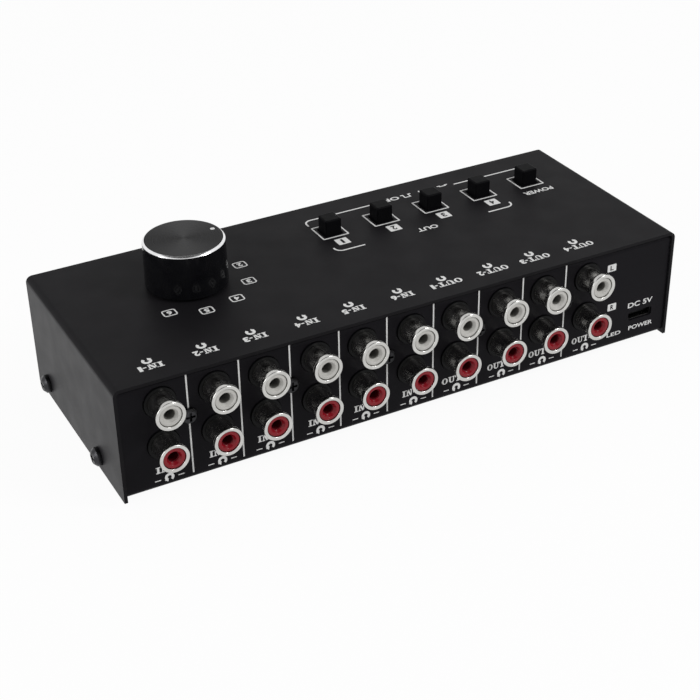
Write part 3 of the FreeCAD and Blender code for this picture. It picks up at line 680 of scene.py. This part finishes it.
def button_marks(sheet):
    """A square round each button, with its number or its name at its jack side."""
    for number, place in enumerate(buttons[:4], 1):
        button_square(sheet, place)
        centre = (place.x - 0.2, place.y + 7.95)
        number_box(sheet, str(number), centre, width=4.1, height=3.9, filled=True)
    power = buttons[4]
    button_square(sheet, power)
    centre = (power.x + 0.35, power.y + 8.3)
    sheet.words("POWER", centre, width=10.7, height=word_height, bold=word_weight)


def dial_numbers(sheet):
    for number in range(1, 7):
        angle = math.radians(dial_rest_angle + dial_step * (2 - number))
        place = (dial.x + number_ring * math.cos(angle), dial.y + number_ring * math.sin(angle))
        number_box(sheet, str(number), place, width=4.2, height=3.6, filled=False)


def front_bracket(sheet):
    """The long bracket at the front, with ON and OFF and their symbols in its gap."""
    level = -30.7
    tip = -27.2
    left = -76.3
    corner = bracket_corner
    right_end = bend((bracket_right - corner, level + corner), corner, 0, -90)
    left_end = bend((left + corner, level + corner), corner, 270, 180)
    gap_right = -22
    gap_left = -50.5
    sheet.ribbon([(bracket_right, tip)] + right_end + [(gap_right, level)], line)
    sheet.ribbon([(gap_left, level)] + left_end + [(left, tip)], line)
    sheet.words("OFF", (-26.6, level - 0.3), width=7.0, height=word_height, bold=word_weight)
    sheet.words("ON", (-40.4, level - 0.3), width=5.4, height=word_height, bold=word_weight)
    raised = [(-1.9, -0.9), (-1.0, -0.9), (-1.0, 0.9), (1.0, 0.9), (1.0, -0.9), (1.9, -0.9)]
    for x, lift in ((-32.9, 1), (-46.7, -0.45)):
        symbol = [(x + a, level - 0.2 + b * (lift if b > 0 else 1)) for a, b in raised]
        sheet.ribbon(symbol, width=0.45)


def output_bracket(sheet):
    """The short bracket behind the output buttons, with a word in its gap."""
    level = -7.8
    left = -58.9
    corner = bracket_corner
    right_end = bend((bracket_right - corner, level - corner), corner, 0, 90)
    left_end = bend((left + corner, level - corner), corner, 90, 180)
    gap_right = -5.1
    gap_left = -49.4
    sheet.ribbon([(bracket_right, -10.5)] + right_end + [(gap_right, level)], line)
    sheet.ribbon([(gap_left, level)] + left_end + [(left, -10.6)], line)
    sheet.words("OUT", (-27.2, level), width=7.0, height=word_height, bold=word_weight)


def top_printing():
    sheet = Sheet(Vector((0, 0, top_z)), RIGHT, BACK)
    for x, name in zip(columns, jack_names):
        jack_label(sheet, name, (x - 0.8, 25.3), width_in=7.1, width_out=10.2, height=2.5)
        turn_arrow(sheet, (x - 0.8, 22.1), radius=1.05, width=0.85)
    button_marks(sheet)
    dial_numbers(sheet)
    front_bracket(sheet)
    output_bracket(sheet)
    settle("top_printing", sheet.form, [ink, case_paint], "case")


def rear_printing():
    """Printing on the rear panel, whose right is towards -X."""
    sheet = Sheet(Vector((0, rear_y, 0)), -RIGHT, UP)
    dash_length = 1.8
    dash_z = 5.7
    divider_low = 5.0
    divider_high = 37.0
    for x, name in zip(columns, jack_names):
        jack_label(sheet, name, (-x + 0.1, 9.1), width_in=6.0, width_out=8.6, height=2.1)
        turn_arrow(sheet, (-x + 0.85, 5.9), radius=1.0, width=0.8)
        for start in (-3.5, 3.4):
            sheet.ribbon([(-x + start, dash_z), (-x + start + dash_length, dash_z)], width=0.27)
    for first, second in zip(columns, columns[1:]):
        middle = -(first + second) / 2
        sheet.ribbon([(middle, divider_low), (middle, divider_high)], width=0.45)
    number_box(sheet, "L", (68.65, rows[0] + 0.6), width=3.2, height=2.4, filled=True)
    number_box(sheet, "R", (69.8, rows[1] + 0.15), width=3.2, height=2.4, filled=True)
    sheet.words("DC 5V", (80.8, 15.9), width=9.4, height=1.8, bold=0.02)
    sheet.words("POWER", (81.6, 7.65), width=9.2, height=1.5, bold=0.02)
    sheet.words("LED", (71.35, 7.3), width=5.3, height=1.3, bold=0.02)
    settle("rear_printing", sheet.form, [ink, panel_paint], "case")


top_printing()
rear_printing()


# Floor, world, lights and camera

def studio_floor():
    form = bmesh.new()
    bmesh.ops.create_grid(form, x_segments=1, y_segments=1, size=4.0)
    mesh = bpy.data.meshes.new("floor")
    form.to_mesh(mesh)
    form.free()
    floor = bpy.data.objects.new("floor", mesh)
    bpy.context.scene.collection.objects.link(floor)
    material = bpy.data.materials.new("floor")
    material.use_nodes = True
    tree = material.node_tree
    tree.nodes.clear()
    output = tree.nodes.new("ShaderNodeOutputMaterial")
    matt = tree.nodes.new("ShaderNodeBsdfDiffuse")
    matt.inputs["Color"].default_value = (0.82, 0.82, 0.82, 1)
    glow = tree.nodes.new("ShaderNodeEmission")
    glow.inputs["Strength"].default_value = 1.0
    mix = tree.nodes.new("ShaderNodeMixShader")
    tree.links.new(seen_directly(tree, 0.95), mix.inputs["Fac"])
    tree.links.new(matt.outputs["BSDF"], mix.inputs[1])
    tree.links.new(glow.outputs["Emission"], mix.inputs[2])
    tree.links.new(mix.outputs["Shader"], output.inputs["Surface"])
    mesh.materials.append(material)


def seen_directly(tree, level):
    """A factor of level for rays from the camera, a mirror or a clear surface, and 0 for the others."""
    path = tree.nodes.new("ShaderNodeLightPath")
    total = path.outputs["Is Camera Ray"]
    for name in ("Is Glossy Ray", "Is Transmission Ray"):
        larger = tree.nodes.new("ShaderNodeMath")
        larger.operation = "MAXIMUM"
        tree.links.new(total, larger.inputs[0])
        tree.links.new(path.outputs[name], larger.inputs[1])
        total = larger.outputs["Value"]
    scaled = tree.nodes.new("ShaderNodeMath")
    scaled.operation = "MULTIPLY"
    tree.links.new(total, scaled.inputs[0])
    scaled.inputs[1].default_value = level
    return scaled.outputs["Value"]


def studio_world():
    world = bpy.data.worlds.new("studio")
    bpy.context.scene.world = world
    world.use_nodes = True
    tree = world.node_tree
    tree.nodes.clear()
    output = tree.nodes.new("ShaderNodeOutputWorld")
    dim = tree.nodes.new("ShaderNodeBackground")
    dim.inputs["Strength"].default_value = 0.5
    white = tree.nodes.new("ShaderNodeBackground")
    for node in (dim, white):
        node.inputs["Color"].default_value = (1, 1, 1, 1)
    direction = tree.nodes.new("ShaderNodeTexCoord").outputs["Generated"]
    height = tree.nodes.new("ShaderNodeSeparateXYZ")
    tree.links.new(direction, height.inputs["Vector"])
    ceiling = tree.nodes.new("ShaderNodeMapRange")
    ceiling.inputs["From Min"].default_value = 0.755
    ceiling.inputs["From Max"].default_value = 0.80
    ceiling.inputs["To Min"].default_value = 1.0
    ceiling.inputs["To Max"].default_value = 0.10
    tree.links.new(height.outputs["Z"], ceiling.inputs["Value"])
    tree.links.new(ceiling.outputs["Result"], white.inputs["Strength"])
    mix = tree.nodes.new("ShaderNodeMixShader")
    tree.links.new(seen_directly(tree, 1.0), mix.inputs["Fac"])
    tree.links.new(dim.outputs["Background"], mix.inputs[1])
    tree.links.new(white.outputs["Background"], mix.inputs[2])
    tree.links.new(mix.outputs["Shader"], output.inputs["Surface"])


def area_light(name, place, aim, size, power):
    lamp = bpy.data.lights.new(name, "AREA")
    lamp.shape = "RECTANGLE"
    lamp.size, lamp.size_y = size
    lamp.energy = power
    light = bpy.data.objects.new(name, lamp)
    direction = Vector(aim) - Vector(place)
    light.rotation_euler = direction.to_track_quat("-Z", "Y").to_euler()
    light.location = place
    bpy.context.scene.collection.objects.link(light)


def photo_camera():
    """The photograph's viewpoint, turned by a degree about its own axis."""
    azimuth = math.radians(152.381)
    elevation = math.radians(31.388)
    roll = math.radians(-1.107)
    back = Vector((math.sin(azimuth) * math.cos(elevation), -math.cos(azimuth) * math.cos(elevation),
                   math.sin(elevation)))
    level = Vector((math.cos(azimuth), math.sin(azimuth), 0))
    upright = back.cross(level)
    right = level * math.cos(roll) + upright * math.sin(roll)
    up = upright * math.cos(roll) - level * math.sin(roll)
    data = bpy.data.cameras.new("camera")
    data.sensor_width = 36.0
    data.lens = 78.88
    data.clip_start = 0.01
    camera = bpy.data.objects.new("camera", data)
    place = Vector((0.19146, 0.35662, 0.25330))
    turned = Matrix((right, up, back)).transposed().to_4x4()
    camera.matrix_world = Matrix.Translation(place) @ turned
    bpy.context.scene.collection.objects.link(camera)
    bpy.context.scene.camera = camera


studio_floor()
studio_world()
area_light("key", place=(-0.50, 0.55, 0.62), aim=(0, 0, 0.02), size=(0.26, 0.26), power=3.4)
area_light("side", place=(0.85, 0.05, 0.40), aim=(0.05, 0, 0.02), size=(0.35, 0.45), power=2.4)
photo_camera()
bpy.context.scene.view_settings.view_transform = "Standard"
